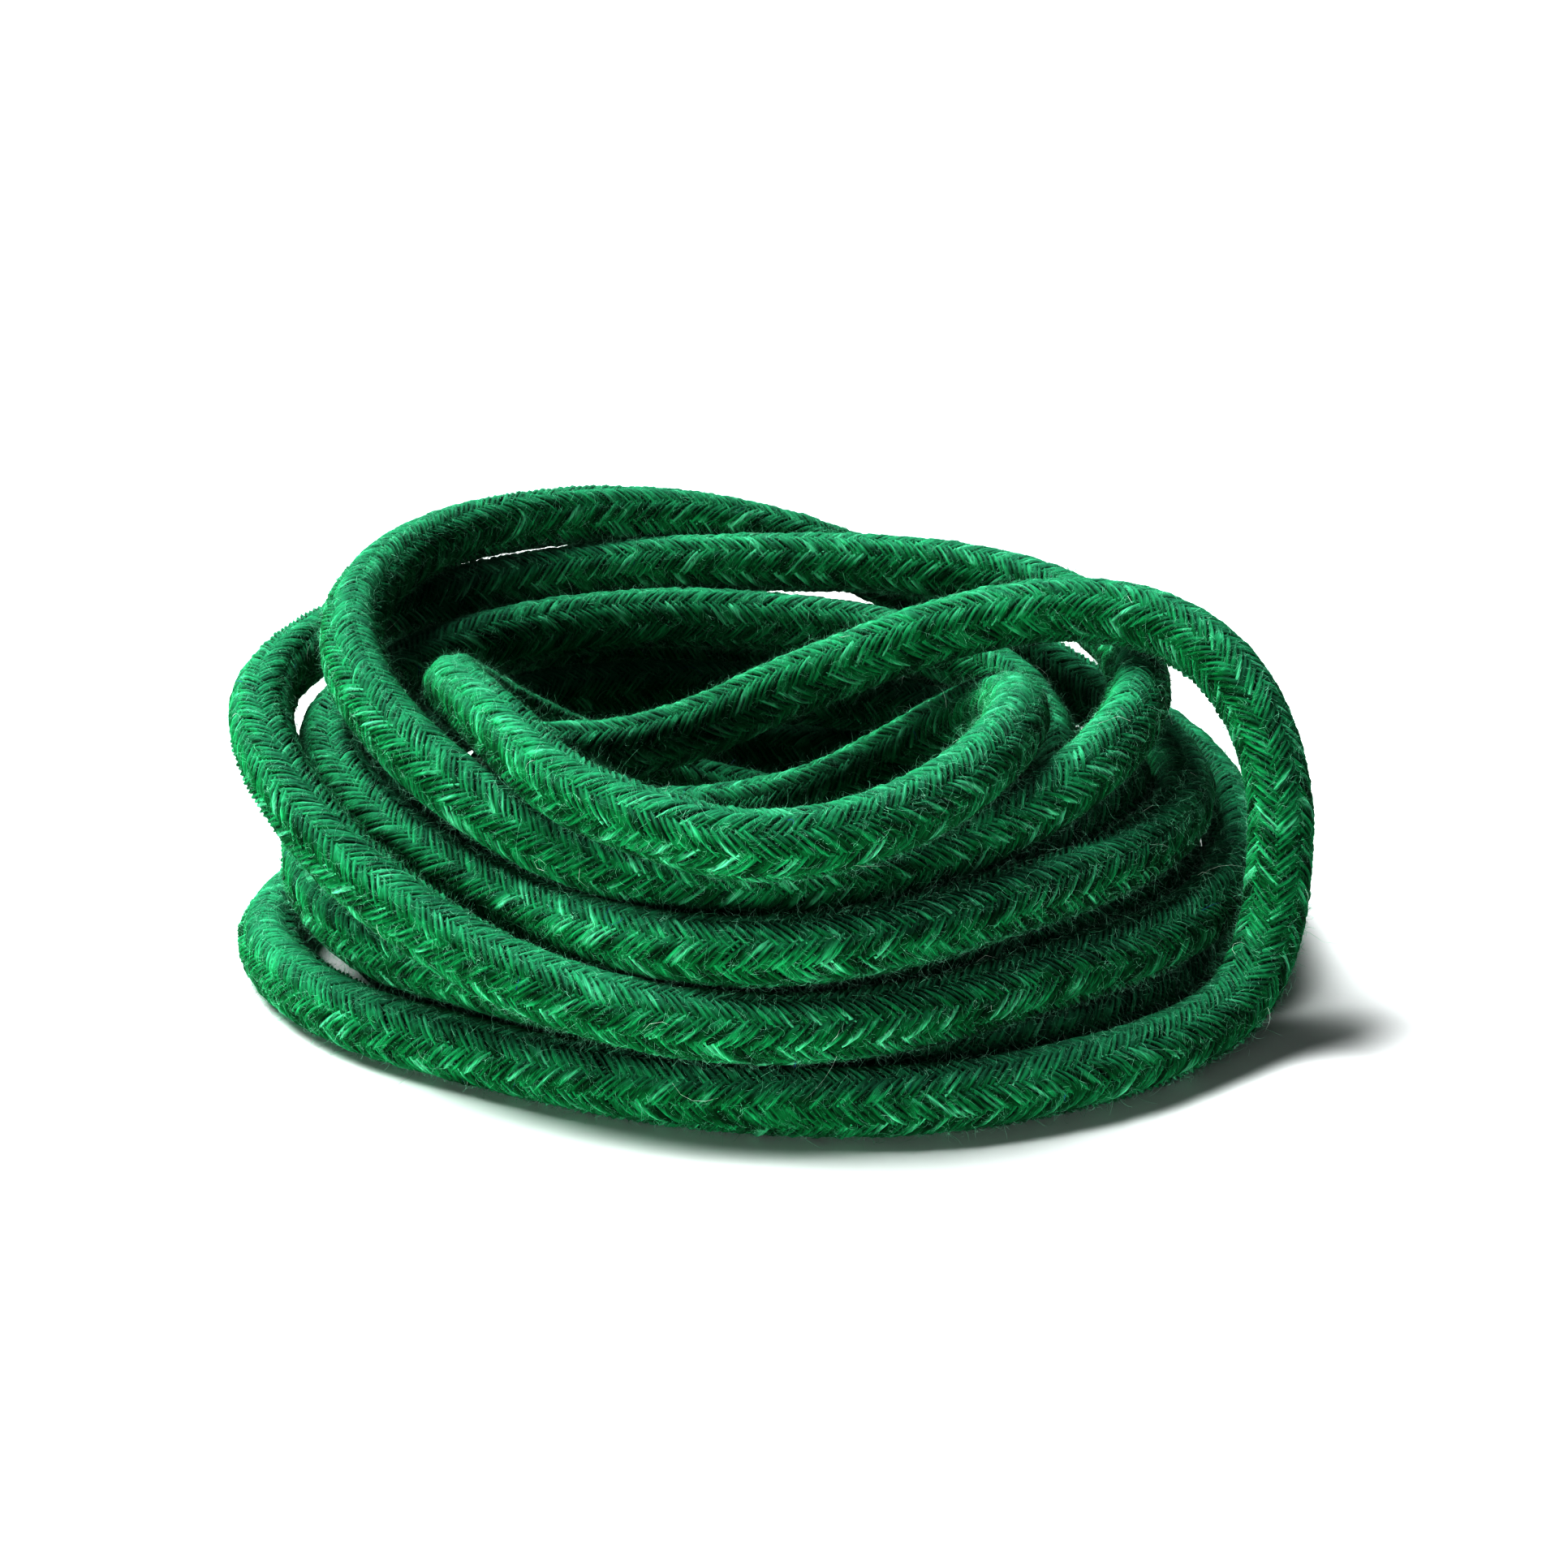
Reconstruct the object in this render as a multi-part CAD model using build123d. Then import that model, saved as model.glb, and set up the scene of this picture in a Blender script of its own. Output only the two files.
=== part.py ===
"""Round sling: one soft braided cotton cord, laid down in a loose coil.

The cord is a hollow braided sleeve over a core of straight filler yarn. It lies in one heap:
an inner loop on top, seven turns and a half below and round it, and a last stretch that comes
up the outside, crosses over the rim and goes down into the hole.

Millimetres. The floor is z = 0, +Y points to the back of the heap and +X to its right. The
origin is on the floor, under the middle of the heap.
"""
from build123d import *
import math
import os

# ---- Driving dimensions ----
sleeve_diameter = 7.6  # outside of the braid, without its nap
sleeve_wall = 1.3  # two layers of carrier yarn
core_clearance = 0.1  # between the core and the bore of the sleeve, all round

# ---- The turns of the coil ----
# Each row is one turn, as (reach, height) of the cord's middle at eight bearings: left, front
# left, front, front right, right, back right, back, back left. The first row starts at front
# left, and the last one is only the front half of a turn, on the floor.
STATION_STEP = 45  # degrees from one station to the next
FIRST_BEARING = 225  # degrees: the front left of the coil
TURNS = {
    "turn_1": (
        (31.6, 13.4), (33.6, 15.6), (34, 13), (48.5, 12.8),
        (52.5, 16), (39.5, 22.4), (44.5, 24.3),
    ),
    "turn_2": (
        (45, 24), (27.5, 20.3), (24.5, 20), (27.2, 16.7),
        (42.5, 24.8), (43.8, 11.4), (44, 13.5), (46, 14),
    ),
    "turn_3": (
        (50, 4.4), (33, 4.6), (28, 5), (25.5, 8.5),
        (32.4, 19.2), (42, 28.3), (39.5, 32.5), (46.5, 33),
    ),
    "turn_4": (
        (54.2, 29), (38.4, 18.9), (42, 20), (38.5, 20.5),
        (50, 21), (55.4, 24.1), (54.2, 41), (58.4, 44.5),
    ),
    "turn_5": (
        (49.6, 38.8), (36.5, 26.8), (32, 23.5), (31.7, 25.3),
        (43.7, 33.3), (50, 38.2), (46, 38.8), (57.2, 36.3),
    ),
    "turn_6": (
        (62, 33.5), (47.5, 16.5), (44.3, 11.8), (42.8, 12.1),
        (56.7, 12.6), (62.4, 20.3), (52, 22.2), (60, 26.8),
    ),
    "turn_7": (
        (56.5, 12), (41.8, 11), (36, 6.1), (43, 4),
        (54, 3.9), (60, 3.9), (51, 3.8), (57, 3.8),
    ),
    "floor_turn": ((63, 3.8), (45.8, 3.8), (44.4, 3.8), (51.8, 3.8)),
}
# The tube's arcs and the cord itself cut inside the corners of the route, so the corners
# stand this much further out than the stations.
CORNER_ALLOWANCE = 1.02
COIL_CENTRE = (1.3, -4.75)  # the hole's middle, from the middle of the whole heap

# ---- The stretches that aren't coiled: corners of the route, chosen by hand ----
LEADS = {
    "inner_end": ((12, 27, 8), (0, 28, 11), (-14, 26, 15), (-26, 23, 21)),
    "top_loop": (
        (-34.5, 15, 28.5), (-39, 5, 35.5), (-36, -6, 37), (-29.5, -19, 36.5), (-23.5, -28.5, 34),
        (-13, -35.5, 32.3), (-3, -39.5, 31), (7, -37, 31), (16, -31, 32), (23, -23, 33.6),
        (28, -12, 34.8), (29.5, -2, 34.6), (28, 7, 32), (23, 13, 28),
    ),
    "hole_crossing": (
        (15, 14, 22.5), (6, 14, 17.5), (-4, 16.5, 14), (-16, 18, 12.7), (-29, 15, 12.7), (-39, 9, 12.8),
        (-44, -1, 12.7), (-41, -11.5, 12.5), (-33, -19.5, 12.6),
    ),
}
TAILS = {
    "rising_strand": (
        (47, -29.5, 3.8), (54, -22.5, 4.8), (58, -17.5, 10), (59.5, -14, 18), (59.8, -10, 27), (57.4, -4, 35),
    ),
    "over_strand": (
        (52.5, 2, 40.4), (45, 8, 42.8), (36, 11, 43), (27, 12, 41.5), (18, 12, 38.9), (9, 12, 35.4), (0, 12, 31.6),
    ),
    "outer_end": ((-7, 11, 28.3), (-14, 10, 26), (-21, 9, 25), (-26, 8.5, 25.2), (-31, 6.8, 25.3), (-35, 5.2, 25.4)),
}

# ---- How the tubes are drawn ----
ARC_SHARE = 0.45  # share of the shorter run that an arc may take up
LIMP_BEND = 3  # diameters: a limp cord's usual tightest bend

# ---- Worked-out sizes ----
sleeve_radius = sleeve_diameter / 2
bore_radius = sleeve_radius - sleeve_wall
core_radius = bore_radius - core_clearance


def halfway(before, first, second, after):
    """Return the value midway between two stations, on the smooth line through all four."""
    return (9 * (first + second) - before - after) / 16


def coil_corners():
    """Return the corners of each turn: one at every station and one between stations."""
    stations = [station for turn in TURNS.values() for station in turn]
    last = len(stations) - 1
    corners = {}
    index = 0
    for name, turn in TURNS.items():
        corners[name] = []
        for station in turn:
            bearing = FIRST_BEARING + STATION_STEP * index
            corners[name].append(polar_corner(bearing, *station))
            if index < last:
                around = [stations[min(max(index + k, 0), last)] for k in (-1, 0, 1, 2)]
                reach = halfway(*[place[0] for place in around])
                height = halfway(*[place[1] for place in around])
                corners[name].append(polar_corner(bearing + STATION_STEP / 2, reach, height))
            index += 1
    return corners


def polar_corner(bearing, reach, height):
    """Return the corner of the route at a bearing in degrees, a reach and a height."""
    angle = math.radians(bearing)
    out = CORNER_ALLOWANCE * reach
    return Vector(out * math.cos(angle), out * math.sin(angle), height)


def free_corners(stretches):
    """Return the corners of the stretches that were chosen by hand."""
    return {name: [Vector(*corner) for corner in corners] for name, corners in stretches.items()}


def whole_route():
    """Return the name and the corners of each stretch, from one end of the cord to the other."""
    stretches = {**free_corners(LEADS), **coil_corners(), **free_corners(TAILS)}
    centre = Vector(*COIL_CENTRE, 0)
    return {name: [centre + corner for corner in corners] for name, corners in stretches.items()}


def arc_radius(before, corner, after):
    """Return the largest arc that the two runs at a corner allow."""
    first_run = corner - before
    second_run = after - corner
    half_turn = math.radians(first_run.get_angle(second_run)) / 2
    return ARC_SHARE * min(first_run.length, second_run.length) / math.tan(half_turn)


def stretch_paths(route):
    """Return the path of each stretch. Neighbours meet in the middle of the run between them."""
    corners = [corner for stretch in route.values() for corner in stretch]
    paths = {}
    start = 0
    for name, stretch in route.items():
        end = start + len(stretch)
        inner = range(max(start, 1), min(end, len(corners) - 1))
        radii = [arc_radius(*corners[i - 1:i + 2]) for i in inner]
        first = corners[0] if start == 0 else (corners[start - 1] + corners[start]) / 2
        last = corners[-1] if end == len(corners) else (corners[end - 1] + corners[end]) / 2
        points = [first, *[corners[i] for i in inner], last]
        paths[name] = FilletPolyline(*points, radius=radii)
        print(f"{name}: {paths[name].length:.1f} mm, radii {min(radii):.1f} to {max(radii):.1f} mm")
        start = end
    return paths


def section(path, radius, hole=0):
    """Return the round section at the start of a path, with a round hole if one is given."""
    plane = Plane(origin=path @ 0, z_dir=path % 0)
    face = Circle(radius)
    if hole:
        face = face - Circle(hole)
    return plane * face


def tube(path, radius, hole=0):
    """Return the solid that the section sweeps along the path."""
    return sweep(section(path, radius, hole), path=path)


def report_tube(name, solid, area, path):
    """Print how the solid's volume compares with its section times its length."""
    print(f"{name}: volume over section x length {solid.volume / (area * path.length):.4f}")


def build():
    """Build the sleeve and the core of every stretch and write them."""
    os.makedirs("parts", exist_ok=True)
    paths = stretch_paths(whole_route())
    sleeve_area = math.pi * (sleeve_radius**2 - bore_radius**2)
    core_area = math.pi * core_radius**2
    for name, path in paths.items():
        sleeve = tube(path, sleeve_radius, bore_radius)
        core = tube(path, core_radius)
        report_tube(f"sleeve_{name}", sleeve, sleeve_area, path)
        report_tube(f"core_{name}", core, core_area, path)
        export_step(sleeve, f"parts/sleeve_{name}.step")
        export_step(core, f"parts/core_{name}.step")
    length = sum(path.length for path in paths.values())
    print(f"cord: {length:.0f} mm long, usual tightest bend {LIMP_BEND * sleeve_diameter:.0f} mm")


build()
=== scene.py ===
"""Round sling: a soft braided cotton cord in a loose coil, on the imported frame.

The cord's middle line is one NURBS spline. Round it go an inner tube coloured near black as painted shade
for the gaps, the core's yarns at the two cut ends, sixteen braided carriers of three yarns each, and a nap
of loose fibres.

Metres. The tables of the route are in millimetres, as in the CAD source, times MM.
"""
import math

import bpy
import numpy as np
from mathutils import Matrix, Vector


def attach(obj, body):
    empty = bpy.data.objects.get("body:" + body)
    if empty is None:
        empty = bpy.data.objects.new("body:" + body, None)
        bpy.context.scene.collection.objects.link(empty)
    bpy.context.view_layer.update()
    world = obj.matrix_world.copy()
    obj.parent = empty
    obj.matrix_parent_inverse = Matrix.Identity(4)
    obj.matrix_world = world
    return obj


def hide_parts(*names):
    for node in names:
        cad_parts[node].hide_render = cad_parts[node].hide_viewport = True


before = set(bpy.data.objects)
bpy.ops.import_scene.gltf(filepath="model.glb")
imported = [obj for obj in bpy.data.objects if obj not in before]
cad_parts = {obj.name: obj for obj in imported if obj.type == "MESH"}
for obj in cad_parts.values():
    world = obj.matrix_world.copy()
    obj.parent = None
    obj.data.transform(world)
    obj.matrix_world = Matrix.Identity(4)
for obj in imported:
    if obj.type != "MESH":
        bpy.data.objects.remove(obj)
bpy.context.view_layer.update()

MM = 0.001
SEED = 11

# ---- Route of the cord, as in the CAD source ----
STATION_STEP = 45  # degrees from one station to the next
FIRST_BEARING = 225  # degrees: the front left of the coil
CORNER_ALLOWANCE = 1.02  # the spline cuts inside its points
COIL_CENTRE = (1.3, -4.75)
# (reach, height) of the cord's middle: left, front left, front, front right, right, back right,
# back, back left. The first turn starts at front left.
TURNS = (
    (
        (31.6, 13.4), (33.6, 15.6), (34, 13), (48.5, 12.8),
        (52.5, 16), (39.5, 22.4), (44.5, 24.3),
    ),
    (
        (45, 24), (27.5, 20.3), (24.5, 20), (27.2, 16.7),
        (42.5, 24.8), (43.8, 11.4), (44, 13.5), (46, 14),
    ),
    (
        (50, 4.4), (33, 4.6), (28, 5), (25.5, 8.5),
        (32.4, 19.2), (42, 28.3), (39.5, 32.5), (46.5, 33),
    ),
    (
        (54.2, 29), (38.4, 18.9), (42, 20), (38.5, 20.5),
        (50, 21), (55.4, 24.1), (54.2, 41), (58.4, 44.5),
    ),
    (
        (49.6, 38.8), (36.5, 26.8), (32, 23.5), (31.7, 25.3),
        (43.7, 33.3), (50, 38.2), (46, 38.8), (57.2, 36.3),
    ),
    (
        (62, 33.5), (47.5, 16.5), (44.3, 11.8), (42.8, 12.1),
        (56.7, 12.6), (62.4, 20.3), (52, 22.2), (60, 26.8),
    ),
    (
        (56.5, 12), (41.8, 11), (36, 6.1), (43, 4),
        (54, 3.9), (60, 3.9), (51, 3.8), (57, 3.8),
    ),
    ((63, 3.8), (45.8, 3.8), (44.4, 3.8), (51.8, 3.8)),
)
# Corners of the route before the first turn: the inner end, the top loop and the crossing in the hole.
LEADS = (
    (12, 27, 8), (0, 28, 11), (-14, 26, 15), (-26, 23, 21),
    (-34.5, 15, 28.5), (-39, 5, 35.5), (-36, -6, 37), (-29.5, -19, 36.5), (-23.5, -28.5, 34),
    (-13, -35.5, 32.3), (-3, -39.5, 31), (7, -37, 31), (16, -31, 32), (23, -23, 33.6),
    (28, -12, 34.8), (29.5, -2, 34.6), (28, 7, 32), (23, 13, 28),
    (15, 14, 22.5), (6, 14, 17.5), (-4, 16.5, 14), (-16, 18, 12.7), (-29, 15, 12.7), (-39, 9, 12.8),
    (-44, -1, 12.7), (-41, -11.5, 12.5), (-33, -19.5, 12.6),
)
# Corners after the last turn: the rising strand, the strand over the top and the outer end.
TAILS = (
    (47, -29.5, 3.8), (54, -22.5, 4.8), (58, -17.5, 10), (59.5, -14, 18), (59.8, -10, 27), (57.4, -4, 35),
    (52.5, 2, 40.4), (45, 8, 42.8), (36, 11, 43), (27, 12, 41.5), (18, 12, 38.9), (9, 12, 35.4),
    (0, 12, 31.6),
    (-7, 11, 28.3), (-14, 10, 26), (-21, 9, 25), (-26, 8.5, 25.2), (-31, 6.8, 25.3), (-35, 5.2, 25.4),
)

# ---- Camera ----
camera_target = Vector((2.8, -4.75, 24)) * MM
camera_distance = 0.35
camera_elevation = 20  # degrees
camera_lens = 66.5  # millimetres, on the usual 36 mm sensor

# ---- Light ----
world_strength = 0.09
key_from = (-0.45, 0.35, 0.82)  # the way to the light: left, a little behind and mostly above
key_width = 36  # degrees, which makes its shadows soft
key_strength = 7.5
fill_place = (-0.35, -0.77, 0.06)  # in front, on the left and low
fill_aim = (0, 0, 0.02)
fill_size = 0.35
fill_power = 9.5
picture_gamma = 0.56  # below one deepens the shades
floor_half = 3.0  # metres from the middle of the floor to its edge

# ---- The cord ----
liner_radius = 3.3 * MM
liner_sides = 24
liner_step = 1.2 * MM  # from one ring of the liner to the next
braid_radius = 3.72 * MM  # where over and under strands pass each other
float_lift = 0.27 * MM  # how far a carrier rises over the others, and dips under them
carriers_each_way = 8
yarns_per_carrier = 3
braid_lead = 22 * MM  # one round of a carrier
valley_depth = 0.36 * MM  # between two yarns
floor_gap = 0.02 * MM  # the cord is pressed flat where it lies on the floor
rings_per_lead = 32  # rows of a carrier's mesh in one round
spline_steps = 40  # points of the line between two points of the route

# ---- The core's yarns at the two cut ends ----
core_yarn_radius = 0.45 * MM
core_yarn_rings = (1, 6, 12)  # yarns in the middle and in each ring round it
core_ring_step = 2.1 * core_yarn_radius
core_yarn_depth = 6 * MM
core_yarn_tips = (0.2, 1.3)  # millimetres that a yarn looks out of the sleeve
core_yarn_twist = 0.25  # radians in a millimetre
core_yarn_sides = 8
core_yarn_tapers = (0.15, 0.8, 1, 1, 1, 1, 1)  # share of the radius, from the tip inwards

# ---- How uneven the braid is: the spacing of a value's knots along the cord, and its size ----
lift_wander = (4 * MM, 0.035 * MM)  # how high a carrier floats
slide_wander = (2.2 * MM, 0.11 * MM)  # a yarn's place in its carrier
rise_wander = (1.6 * MM, 0.07 * MM)  # a yarn's height in its carrier
tone_wander = (2.6 * MM, 0.3)  # a yarn's shade, from 0 for dark to 1 for pale
streak_lean = 0.35  # how far the fibres of a yarn lean across it as they run along
twist_swing = 0.6  # radians that the braid's columns wander round the cord
twist_waves = ((0.061, 1.0, 1.0), (0.143, 0.0, 0.6), (0.029, 2.0, 0.4))  # metres a radian, phase, share

# ---- The nap ----
nap_pieces = 4  # the short nap is parted into stretches of the cord
nap_count = 55000  # fibres in each
long_nap_count = 16000
stray_white_count = 260
stray_blue_count = 200
fibre_width = 0.034 * MM
stray_width = 0.06 * MM
fibre_length_spread = 0.45  # of the logarithm of the length
fibre_curl = 0.55  # radians that a fibre turns aside from one segment to the next
fibre_droop = (-0.12, 0.3)  # radians that it bends down in each segment, and the spread
fibre_root = (-0.1, 0.25)  # millimetres from the braid's radius
fibre_tip = 0.35  # share of the width that is left at the tip


# ---------------------------------------------------------------- camera


def make_camera():
    """Look along +Y and down at the coil."""
    tilt = math.radians(camera_elevation)
    data = bpy.data.cameras.new("camera")
    data.lens = camera_lens
    data.clip_start = 0.01
    camera = bpy.data.objects.new("camera", data)
    camera.location = camera_target + camera_distance * Vector((0, -math.cos(tilt), math.sin(tilt)))
    camera.rotation_euler = (math.pi / 2 - tilt, 0, 0)
    bpy.context.scene.collection.objects.link(camera)
    bpy.context.scene.camera = camera


# ---------------------------------------------------------------- the cord's line


def halfway(before, first, second, after):
    """Return the value midway between two stations, on the smooth line through all four."""
    return (9 * (first + second) - before - after) / 16


def coil_points():
    """Return the coil's points: one at every station and one between stations."""
    stations = [station for turn in TURNS for station in turn]
    last = len(stations) - 1
    places = []
    for index, (reach, height) in enumerate(stations):
        bearing = FIRST_BEARING + STATION_STEP * index
        places.append((bearing, reach, height))
        if index < last:
            around = [stations[min(max(index + k, 0), last)] for k in (-1, 0, 1, 2)]
            reach = halfway(*[place[0] for place in around])
            height = halfway(*[place[1] for place in around])
            places.append((bearing + STATION_STEP / 2, reach, height))
    points = []
    for bearing, reach, height in places:
        angle = math.radians(bearing)
        out = CORNER_ALLOWANCE * reach
        points.append((out * math.cos(angle), out * math.sin(angle), height))
    return points


def route_points():
    """Return every point of the route in metres, from one end of the cord to the other."""
    points = np.array([*LEADS, *coil_points(), *TAILS])
    points[:, 0] += COIL_CENTRE[0]
    points[:, 1] += COIL_CENTRE[1]
    return points * MM


def spline_line(points):
    """Return the points of the smooth NURBS line that the route's points control."""
    data = bpy.data.curves.new("route", "CURVE")
    data.dimensions = "3D"
    data.resolution_u = spline_steps
    spline = data.splines.new("NURBS")
    spline.points.add(len(points) - 1)
    for place, point in zip(spline.points, points):
        place.co = (*point, 1)
    spline.order_u = 3  # a low order keeps the line close to its points
    spline.use_endpoint_u = True
    curve = bpy.data.objects.new("route", data)
    mesh = bpy.data.meshes.new_from_object(curve)
    line = np.empty(3 * len(mesh.vertices))
    mesh.vertices.foreach_get("co", line)
    bpy.data.objects.remove(curve)
    bpy.data.meshes.remove(mesh)
    return line.reshape(-1, 3)


def unit(vectors):
    """Return the vectors at length one."""
    return vectors / np.maximum(np.linalg.norm(vectors, axis=-1, keepdims=True), 1e-12)


class CordLine:
    """The middle line with a frame that is carried along it without twisting."""

    def __init__(self, line):
        # A point that repeats the one before it is dropped.
        steps = np.linalg.norm(np.diff(line, axis=0), axis=1)
        keep = np.concatenate([[True], steps > 1e-9])
        self.points = line[keep]
        self.at = np.concatenate([[0], np.cumsum(steps[keep[1:]])])
        self.length = self.at[-1]
        self.along = unit(np.gradient(self.points, self.at, axis=0))
        side = np.zeros_like(self.points)
        side[0] = unit(np.cross(self.along[0], (0.0, 0.0, 1.0)))
        for i in range(1, len(side)):
            carried = side[i - 1] - self.along[i] * np.dot(side[i - 1], self.along[i])
            side[i] = carried / np.linalg.norm(carried)
        self.side = side
        self.up = np.cross(self.along, side)

    def read(self, values, distance):
        """Return rows of values at distances along the line."""
        return np.stack([np.interp(distance, self.at, values[:, axis]) for axis in range(3)], axis=-1)

    def surface(self, distance, angle, radius):
        """Return points round the line: at a distance along, an angle round and a radius out.

        The line runs straight on past its two ends, and nothing reaches below the floor.
        """
        inside = np.clip(distance, 0, self.length)
        side = unit(self.read(self.side, inside))
        up = unit(self.read(self.up, inside))
        out = np.cos(angle)[..., None] * side + np.sin(angle)[..., None] * up
        beyond = (distance - inside)[..., None] * unit(self.read(self.along, inside))
        points = self.read(self.points, inside) + beyond + radius[..., None] * out
        points[..., 2] = np.maximum(points[..., 2], floor_gap)
        return points


# ---------------------------------------------------------------- meshes


def add_piece(name, points, faces, material):
    """Make a mesh piece that rides on the root, with its material."""
    mesh = bpy.data.meshes.new(name)
    mesh.vertices.add(len(points))
    mesh.vertices.foreach_set("co", np.ascontiguousarray(points, dtype=np.float32).ravel())
    faces = np.ascontiguousarray(faces, dtype=np.int32)
    sides = faces.shape[1]
    mesh.loops.add(faces.size)
    mesh.loops.foreach_set("vertex_index", faces.ravel())
    mesh.polygons.add(len(faces))
    mesh.polygons.foreach_set("loop_start", np.arange(0, faces.size, sides, dtype=np.int32))
    mesh.polygons.foreach_set("loop_total", np.full(len(faces), sides, dtype=np.int32))
    mesh.update(calc_edges=True)
    mesh.shade_smooth()
    mesh.materials.append(material)
    piece = bpy.data.objects.new(name, mesh)
    bpy.context.scene.collection.objects.link(piece)
    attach(piece, "root")
    return piece


def set_values(piece, name, values):
    """Give each vertex of a piece one number that its material reads."""
    attribute = piece.data.attributes.new(name, "FLOAT", "POINT")
    attribute.data.foreach_set("value", np.ascontiguousarray(values, dtype=np.float32).ravel())


def grid_faces(rows, columns, closed=False):
    """Return the quads of a grid of points, closed round its rows or open."""
    row = np.arange(rows - 1)[:, None] * columns
    column = np.arange(columns if closed else columns - 1)[None, :]
    after = (column + 1) % columns
    quads = np.stack([row + column, row + after, row + columns + after, row + columns + column], axis=-1)
    return quads.reshape(-1, 4)


def wander(random, distance, spacing, size, columns=()):
    """Return a smooth random walk along the cord: values of about a size, a knot per spacing."""
    knots = int(distance.max() / spacing) + 4
    heights = random.normal(0, size, (knots, *columns))
    place = np.clip(distance / spacing, 0, knots - 2.001)  # there is always a knot after it
    first = place.astype(int)
    share = place - first
    share = share * share * (3 - 2 * share)
    share = share.reshape(share.shape + (1,) * len(columns))
    return heights[first] * (1 - share) + heights[first + 1] * share


def column_angle(distance):
    """Return how far the braid's columns have wandered round the cord."""
    return twist_swing * sum(share * np.sin(distance / slow + phase) for slow, phase, share in twist_waves)


# ---------------------------------------------------------------- the cord's pieces


def make_liner(cord, material):
    """Make the inner tube that shows only between the carriers; its near black colour is painted shade for
    the gaps.
    """
    rings = int(cord.length / liner_step)
    distance = np.linspace(0, cord.length, rings)[:, None] + np.zeros((1, liner_sides))
    angle = np.linspace(0, 2 * math.pi, liner_sides, endpoint=False)[None, :] + np.zeros((rings, 1))
    points = cord.surface(distance, angle, np.full(angle.shape, liner_radius))
    faces = grid_faces(rings, liner_sides, closed=True)
    return add_piece("cord_liner", points.reshape(-1, 3), faces, material)


def core_yarn_tube(cord, start, way, angle, reach, tip):
    """Return the points of one core yarn, in rings from its tip into the sleeve."""
    rings = len(core_yarn_tapers)
    distance = start - way * tip + way * np.linspace(0, core_yarn_depth, rings)
    angle = angle + core_yarn_twist * way * distance / MM
    middle = cord.surface(distance, angle, np.full(rings, reach))
    along = unit(np.gradient(middle, axis=0))
    side = unit(np.cross(along, (0.3, 0.5, 0.8)))  # square to the yarn, in any direction
    up = np.cross(along, side)
    radius = np.array(core_yarn_tapers) * core_yarn_radius
    turn = np.linspace(0, 2 * math.pi, core_yarn_sides, endpoint=False)[None, :, None]
    out = np.cos(turn) * side[:, None] + np.sin(turn) * up[:, None]
    return (middle[:, None] + radius[:, None, None] * out).reshape(-1, 3)


def make_core(cord, material):
    """Make the core's yarns where they look out of the two cut ends of the sleeve."""
    random = np.random.default_rng(SEED + 5)
    yarn_faces = grid_faces(len(core_yarn_tapers), core_yarn_sides, closed=True)
    points = []
    faces = []
    for start, way in ((0.0, 1), (cord.length, -1)):
        for ring, count in enumerate(core_yarn_rings):
            for number in range(count):
                tip = random.uniform(*core_yarn_tips) * MM
                angle = 2 * math.pi * number / count
                tube = core_yarn_tube(cord, start, way, angle, ring * core_ring_step, tip)
                faces.append(yarn_faces + len(points) * len(tube))
                points.append(tube)
    return add_piece("core_yarns", np.concatenate(points), np.concatenate(faces), material)


def make_carrier(cord, material, way, index):
    """Make one carrier: a band of yarns that winds round the cord, over two and under two."""
    random = np.random.default_rng(SEED + 100 * index + (7 if way > 0 else 0))
    pitch = braid_lead / carriers_each_way
    rings = int(cord.length / braid_lead * rings_per_lead)
    columns = 2 * yarns_per_carrier + 1
    distance = np.linspace(0, cord.length, rings)
    angle = way * 2 * math.pi * distance / braid_lead + 2 * math.pi * index / carriers_each_way
    over = way * np.cos(carriers_each_way / 2 * angle)
    lift = float_lift + wander(random, distance, *lift_wander)
    radius = braid_radius + over * lift

    # Across the band, a valley and a peak take turns, with one peak for each yarn.
    place = (np.arange(columns) / (columns - 1) - 0.5) * pitch
    yarn = np.minimum(np.arange(columns) // 2, yarns_per_carrier - 1)
    peak = np.arange(columns) % 2 == 1
    slide = wander(random, distance, *slide_wander, (yarns_per_carrier,))
    rise = wander(random, distance, *rise_wander, (yarns_per_carrier,))
    place = place[None, :] + slide[:, yarn]
    radius = radius[:, None] + np.where(peak, rise[:, yarn], -valley_depth)
    distance = distance[:, None] + place
    turned = angle[:, None] + column_angle(distance)
    points = cord.surface(distance, turned, radius)
    name = f"carrier_{'s' if way > 0 else 'z'}{index + 1}"
    piece = add_piece(name, points.reshape(-1, 3), grid_faces(rings, columns), material)
    from_start = distance[:, 0] - distance[:, 0].min()
    tone = 0.5 + wander(random, from_start, *tone_wander, (yarns_per_carrier,))
    set_values(piece, "tone", np.clip(tone[:, yarn], 0, 1))
    set_values(piece, "along", distance / MM)
    set_values(piece, "across", place / MM + streak_lean * distance / MM + 10 * index)
    # The valley mark is where the yarn material paints shade between yarns.
    set_values(piece, "valley", np.where(peak, 0.0, 1.0)[None, :] + np.zeros((rings, 1)))
    return piece


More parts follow.
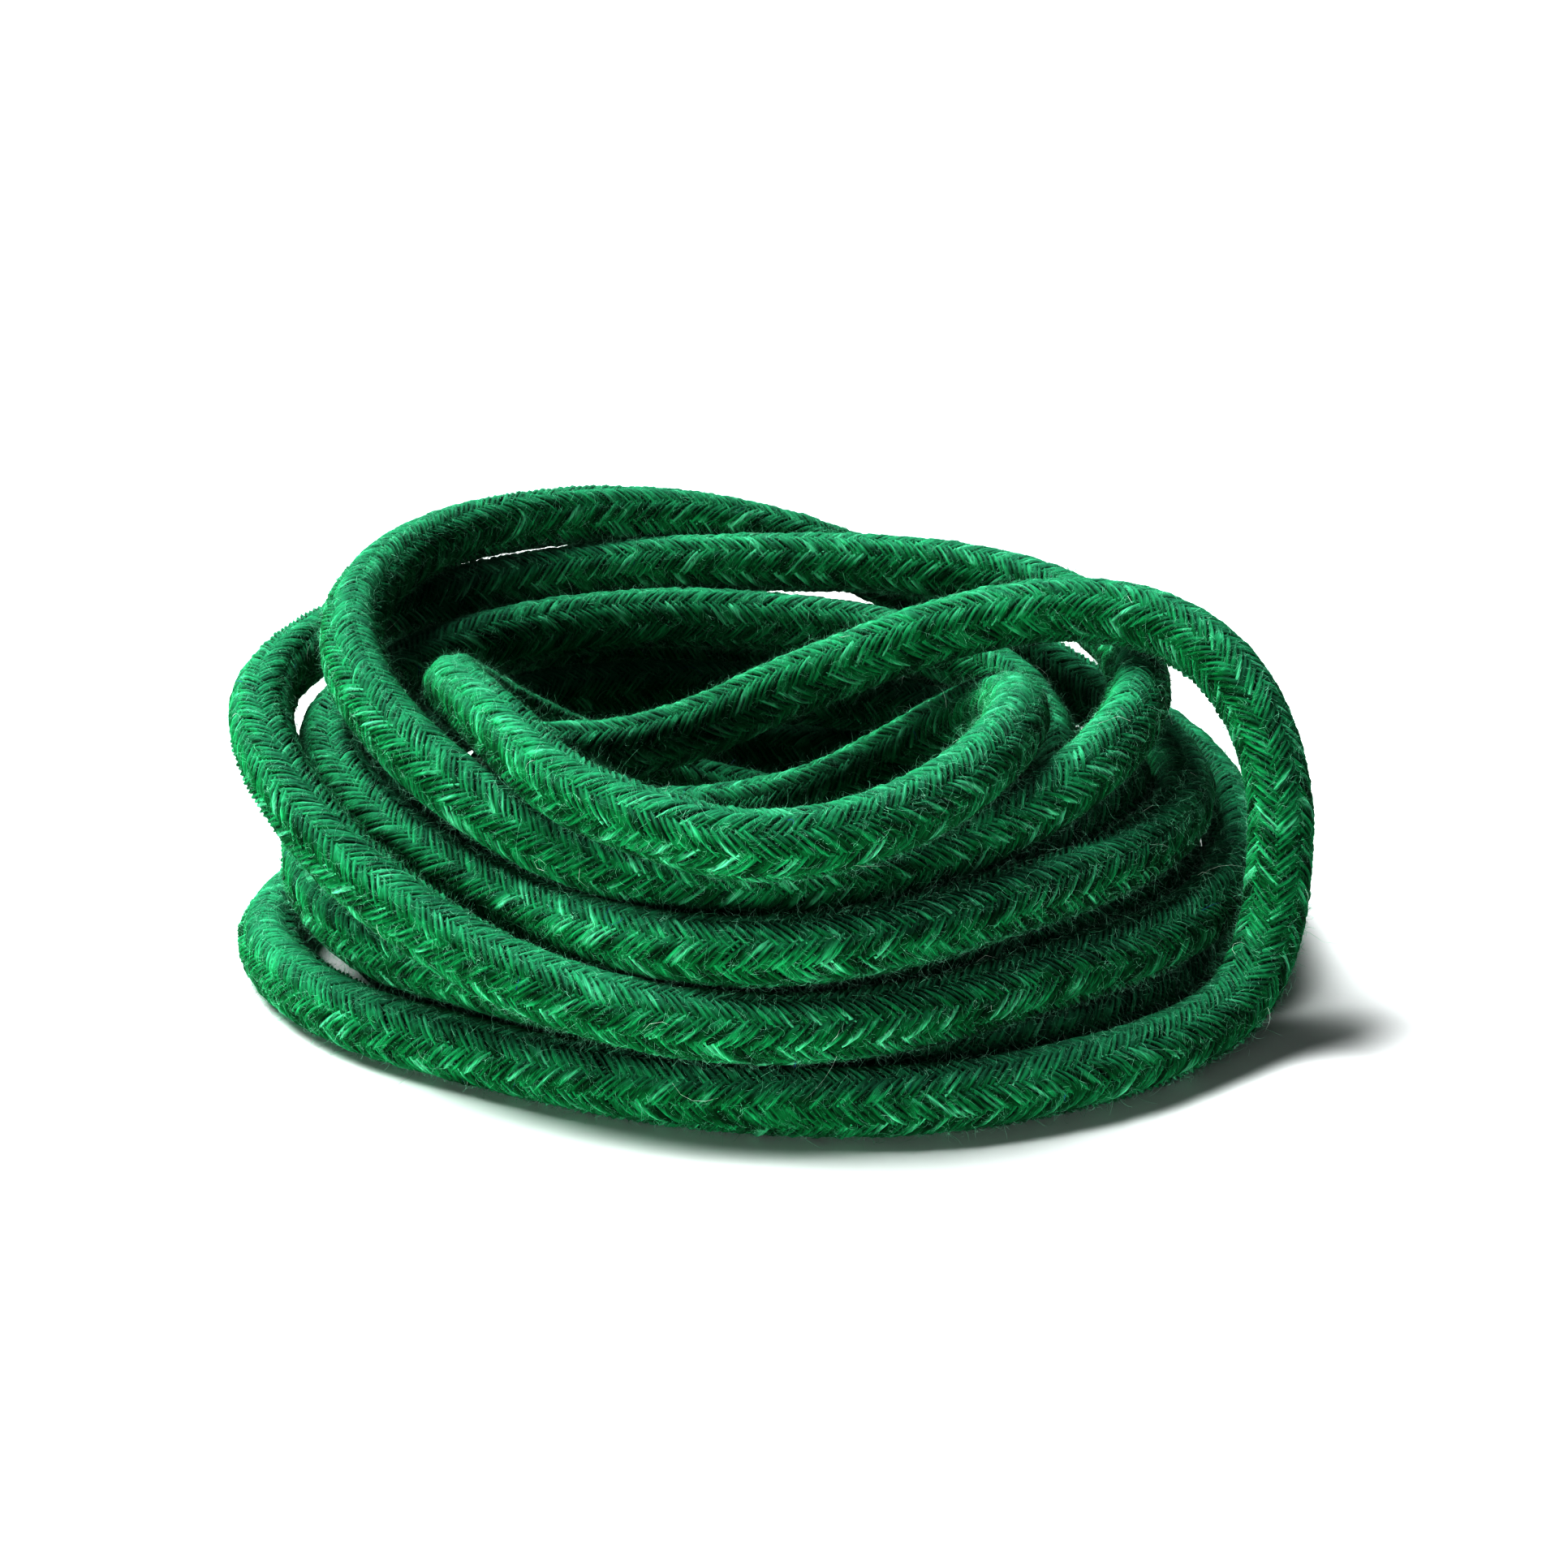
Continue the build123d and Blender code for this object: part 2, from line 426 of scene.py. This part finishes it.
def make_fibres(cord, random, name, material, count, span, length, lean, width, segments):
    """Make loose fibres: thin curled strips that stand or lie on the braid between two distances.

    The length is the usual one, and lean is the mean and the spread, in degrees, of how far they stand up.
    """
    start = random.uniform(*span, count)
    angle = random.uniform(0, 2 * math.pi, count)
    reach = length * random.lognormal(0, fibre_length_spread, count)
    heading = random.uniform(0, 2 * math.pi, count)
    rise = np.radians(np.abs(random.normal(*lean, count)))
    bend = random.normal(0, fibre_curl, count)
    droop = random.normal(*fibre_droop, count)
    step = reach / segments
    along = np.zeros((count, segments + 1))
    around = np.zeros((count, segments + 1))
    out = np.zeros((count, segments + 1))
    out[:, 0] = braid_radius + random.uniform(*fibre_root, count) * MM
    for k in range(segments):
        along[:, k + 1] = along[:, k] + step * np.cos(rise) * np.cos(heading)
        around[:, k + 1] = around[:, k] + step * np.cos(rise) * np.sin(heading)
        out[:, k + 1] = np.maximum(out[:, k] + step * np.sin(rise), braid_radius)
        heading = heading + bend
        rise = rise + droop
    points = cord.surface(start[:, None] + along, angle[:, None] + around / braid_radius, out)
    tangent = unit(np.gradient(points, axis=1))
    side = unit(np.cross(tangent, unit(random.normal(0, 1, (count, 1, 3)))))
    taper = np.linspace(1, fibre_tip, segments + 1)[None, :, None]
    half = side * taper * width / 2
    strip = np.stack([points - half, points + half], axis=2)
    strip[..., 2] = np.maximum(strip[..., 2], floor_gap)
    corner = np.arange(segments)[None, :] * 2 + (np.arange(count) * 2 * (segments + 1))[:, None]
    quads = np.stack([corner, corner + 1, corner + 3, corner + 2], axis=-1).reshape(-1, 4)
    return add_piece(name, strip.reshape(-1, 3), quads, material)


# ---------------------------------------------------------------- materials


def new_material(name):
    """Return a material with a Principled shader, its nodes and the shader."""
    material = bpy.data.materials.new(name)
    material.use_nodes = True
    return material, material.node_tree, material.node_tree.nodes["Principled BSDF"]


def ramp(tree, value, stops):
    """Return the colour that a value picks from a ramp of (place, colour) stops."""
    node = tree.nodes.new("ShaderNodeValToRGB")
    for element, (place, _) in zip(node.color_ramp.elements, (stops[0], stops[-1])):
        element.position = place
    for place, _ in stops[1:-1]:
        node.color_ramp.elements.new(place)
    for element, (_, colour) in zip(node.color_ramp.elements, stops):
        element.color = (*colour, 1)
    tree.links.new(value, node.inputs["Fac"])
    return node.outputs["Color"]


def noise(tree, scale, detail):
    """Return noise on the object's own coordinates."""
    place = tree.nodes.new("ShaderNodeTexCoord")
    node = tree.nodes.new("ShaderNodeTexNoise")
    node.inputs["Scale"].default_value = scale
    node.inputs["Detail"].default_value = detail
    tree.links.new(place.outputs["Object"], node.inputs["Vector"])
    return node.outputs["Fac"]


def mix(tree, kind, factor, first, second):
    """Return a mix of a colour socket and another socket or colour, by a factor socket or number."""
    node = tree.nodes.new("ShaderNodeMix")
    node.data_type = "RGBA"
    node.blend_type = kind
    if isinstance(factor, (int, float)):
        node.inputs["Factor"].default_value = factor
    else:
        tree.links.new(factor, node.inputs["Factor"])
    tree.links.new(first, node.inputs["A"])
    if isinstance(second, tuple):
        node.inputs["B"].default_value = (*second, 1)
    else:
        tree.links.new(second, node.inputs["B"])
    return node.outputs["Result"]


def attribute(tree, name):
    """Return the output of a vertex value."""
    node = tree.nodes.new("ShaderNodeAttribute")
    node.attribute_name = name
    return node.outputs["Fac"]


def painted_top_light(tree):
    """Return how far a surface faces up, for painted light that makes the tops paler as if lit from above.
    """
    geometry = tree.nodes.new("ShaderNodeNewGeometry")
    split = tree.nodes.new("ShaderNodeSeparateXYZ")
    tree.links.new(geometry.outputs["Normal"], split.inputs["Vector"])
    facing = tree.nodes.new("ShaderNodeMapRange")
    facing.inputs["From Min"].default_value = 0.35
    facing.inputs["From Max"].default_value = 1.0
    facing.inputs["To Max"].default_value = 0.6
    tree.links.new(split.outputs["Z"], facing.inputs["Value"])
    return facing.outputs["Result"]


def add_bump(tree, shader, height, strength):
    """Raise the surface of a shader by a tenth of a millimetre, as high as a socket says."""
    bump = tree.nodes.new("ShaderNodeBump")
    bump.inputs["Strength"].default_value = strength
    bump.inputs["Distance"].default_value = 0.1 * MM
    tree.links.new(height, bump.inputs["Height"])
    tree.links.new(bump.outputs["Normal"], shader.inputs["Normal"])


def gap_shade_strength(tree):
    """Return how strong the painted shade in the gap between two yarns is: weaker in places, where loose
    fibre bridges the gap.
    """
    openness = tree.nodes.new("ShaderNodeMapRange")
    openness.inputs["From Min"].default_value = 0.35
    openness.inputs["From Max"].default_value = 0.6
    openness.inputs["To Min"].default_value = 0.25
    tree.links.new(noise(tree, 650, 2), openness.inputs["Value"])
    return openness.outputs["Result"]


def yarn_streaks(tree):
    """Return noise in fine streaks that follow a yarn with a little twist."""
    place = tree.nodes.new("ShaderNodeCombineXYZ")
    tree.links.new(attribute(tree, "along"), place.inputs["X"])
    tree.links.new(attribute(tree, "across"), place.inputs["Y"])
    mapping = tree.nodes.new("ShaderNodeMapping")
    mapping.inputs["Scale"].default_value = (0.9, 5.5, 1)
    node = tree.nodes.new("ShaderNodeTexNoise")
    node.inputs["Scale"].default_value = 1
    node.inputs["Detail"].default_value = 3
    tree.links.new(place.outputs["Vector"], mapping.inputs["Vector"])
    tree.links.new(mapping.outputs["Vector"], node.inputs["Vector"])
    return node.outputs["Fac"]


def yarn_material():
    """Dyed cotton yarn: green with lighter and darker yarns, fibres and a soft sheen; painted light makes
    the tops paler and painted shade darkens the valleys between yarns.
    """
    material, tree, shader = new_material("dyed_cotton_yarn")
    tones = ramp(tree, attribute(tree, "tone"), (
        (0.0, (0.001, 0.075, 0.022)),
        (0.4, (0.006, 0.230, 0.080)),
        (0.75, (0.030, 0.420, 0.185)),
        (1.0, (0.180, 0.700, 0.430)),
    ))
    fibres = yarn_streaks(tree)
    fine = ramp(tree, fibres, ((0.3, (0.3, 0.42, 0.36)), (0.7, (1.7, 1.4, 1.5))))
    colour = mix(tree, "MULTIPLY", 0.9, tones, fine)
    patches = ramp(tree, noise(tree, 70, 2), ((0.3, (0.8, 0.88, 0.85)), (0.7, (1.15, 1.1, 1.1))))
    colour = mix(tree, "MULTIPLY", 0.8, colour, patches)
    # Painted light: surfaces that face up are mixed towards pale green, as if lit from above.
    colour = mix(tree, "MIX", painted_top_light(tree), colour, (0.09, 0.42, 0.28))
    # Painted shade: the valleys between yarns are mixed towards near black, more where the gap is open.
    valley_shade = tree.nodes.new("ShaderNodeMath")
    valley_shade.operation = "MULTIPLY"
    tree.links.new(attribute(tree, "valley"), valley_shade.inputs[0])
    tree.links.new(gap_shade_strength(tree), valley_shade.inputs[1])
    colour = mix(tree, "MIX", valley_shade.outputs["Value"], colour, (0.0005, 0.018, 0.005))
    tree.links.new(colour, shader.inputs["Base Color"])
    shader.inputs["Roughness"].default_value = 0.85
    shader.inputs["Specular IOR Level"].default_value = 0.15
    shader.inputs["Sheen Weight"].default_value = 0.08
    shader.inputs["Sheen Roughness"].default_value = 0.5
    shader.inputs["Sheen Tint"].default_value = (0.3, 0.9, 0.6, 1)
    add_bump(tree, shader, fibres, 0.8)
    return material


def liner_material():
    """The underside of the braid, seen only in the gaps: cotton coloured near black green as painted shade
    for the gaps.
    """
    material, tree, shader = new_material("under_braid_painted_shade")
    # Painted shade: near black green stands in for the shade in the gaps between the carriers.
    tones = ramp(tree, noise(tree, 1800, 4), ((0.35, (0.001, 0.016, 0.005)), (0.7, (0.004, 0.055, 0.02))))
    tree.links.new(tones, shader.inputs["Base Color"])
    shader.inputs["Roughness"].default_value = 0.95
    shader.inputs["Specular IOR Level"].default_value = 0.1
    return material


def core_material():
    """Undyed filler yarn, with a little green rubbed off on it."""
    material, tree, shader = new_material("undyed_filler_yarn")
    mottle = noise(tree, 1500, 3)
    tones = ramp(tree, mottle, ((0.35, (0.32, 0.38, 0.3)), (0.7, (0.6, 0.63, 0.54))))
    tree.links.new(tones, shader.inputs["Base Color"])
    shader.inputs["Roughness"].default_value = 0.9
    add_bump(tree, shader, mottle, 0.7)
    return material


def fibre_material(name, dark, light, sheen):
    """Loose cotton fibres of one dye."""
    material, tree, shader = new_material(name)
    tones = ramp(tree, noise(tree, 900, 1), ((0.35, dark), (0.65, light)))
    tree.links.new(tones, shader.inputs["Base Color"])
    shader.inputs["Roughness"].default_value = 0.7
    shader.inputs["Specular IOR Level"].default_value = 0.3
    shader.inputs["Sheen Weight"].default_value = sheen
    shader.inputs["Sheen Tint"].default_value = (0.7, 0.95, 0.85, 1)
    return material


def floor_material():
    """A plain pale studio floor with the faintest grain."""
    material, tree, shader = new_material("studio_floor")
    grain = ramp(tree, noise(tree, 90, 3), ((0.3, (0.86, 0.87, 0.875)), (0.7, (0.88, 0.89, 0.895))))
    tree.links.new(grain, shader.inputs["Base Color"])
    shader.inputs["Roughness"].default_value = 0.6
    shader.inputs["Specular IOR Level"].default_value = 0.2
    return material


# ---------------------------------------------------------------- the nap


def make_naps(cord):
    """Make the short nap, the longer loose fibres and a few stray white and blue ones."""
    green = fibre_material("green_fibres", (0.06, 0.38, 0.21), (0.42, 0.76, 0.6), 0.3)
    white = fibre_material("white_fibres", (0.6, 0.62, 0.58), (0.8, 0.82, 0.78), 0.5)
    blue = fibre_material("blue_fibres", (0.02, 0.08, 0.35), (0.04, 0.16, 0.5), 0.5)
    random = np.random.default_rng(SEED)
    stretch = cord.length / nap_pieces
    whole = (0, cord.length)
    # name, material, how many, between which distances, length, lean, width, segments
    kinds = [
        (f"nap_{number + 1}", green, nap_count, (stretch * number, stretch * (number + 1)),
         1.0 * MM, (26, 24), fibre_width, 3)
        for number in range(nap_pieces)
    ]
    kinds.append(("long_nap", green, long_nap_count, whole, 1.7 * MM, (30, 20), fibre_width, 6))
    kinds.append(("stray_white", white, stray_white_count, whole, 3 * MM, (20, 20), stray_width, 4))
    kinds.append(("stray_blue", blue, stray_blue_count, whole, 2 * MM, (12, 15), stray_width, 4))
    return [make_fibres(cord, random, *kind) for kind in kinds]


# ---------------------------------------------------------------- stage


def make_floor():
    """A wide pale floor under the coil."""
    corners = [(floor_half * x, floor_half * y, 0) for x, y in ((-1, -1), (1, -1), (1, 1), (-1, 1))]
    mesh = bpy.data.meshes.new("floor")
    mesh.from_pydata(corners, [], [(0, 1, 2, 3)])
    mesh.materials.append(floor_material())
    floor = bpy.data.objects.new("floor", mesh)
    bpy.context.scene.collection.objects.link(floor)


def area_light(name, place, size, power):
    """A soft square light that faces the coil."""
    data = bpy.data.lights.new(name, "AREA")
    data.size = size
    data.energy = power
    light = bpy.data.objects.new(name, data)
    light.location = place
    light.rotation_euler = (Vector(fill_aim) - Vector(place)).to_track_quat("-Z", "Y").to_euler()
    bpy.context.scene.collection.objects.link(light)


def sun_light(name, come_from, width, strength):
    """A soft light from far away, which lights the whole floor alike."""
    data = bpy.data.lights.new(name, "SUN")
    data.angle = math.radians(width)
    data.energy = strength
    light = bpy.data.objects.new(name, data)
    light.rotation_euler = (-Vector(come_from)).to_track_quat("-Z", "Y").to_euler()
    bpy.context.scene.collection.objects.link(light)


def make_lights():
    """Dim white surroundings, a wide key light from above on the left and a low one from the front left."""
    world = bpy.data.worlds.new("studio")
    world.use_nodes = True
    background = world.node_tree.nodes["Background"]
    background.inputs["Color"].default_value = (1, 1, 1, 1)
    background.inputs["Strength"].default_value = world_strength
    bpy.context.scene.world = world
    sun_light("key", key_from, key_width, key_strength)
    area_light("fill", fill_place, fill_size, fill_power)
    bpy.context.scene.view_settings.view_transform = "Standard"
    bpy.context.scene.view_settings.gamma = picture_gamma


# ---------------------------------------------------------------- build


make_camera()
cord_line = CordLine(spline_line(route_points()))
yarn = yarn_material()
liner = make_liner(cord_line, liner_material())
core = make_core(cord_line, core_material())
carriers = [
    make_carrier(cord_line, yarn, way, index) for way in (1, -1) for index in range(carriers_each_way)
]
naps = make_naps(cord_line)

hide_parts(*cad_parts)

make_floor()
make_lights()
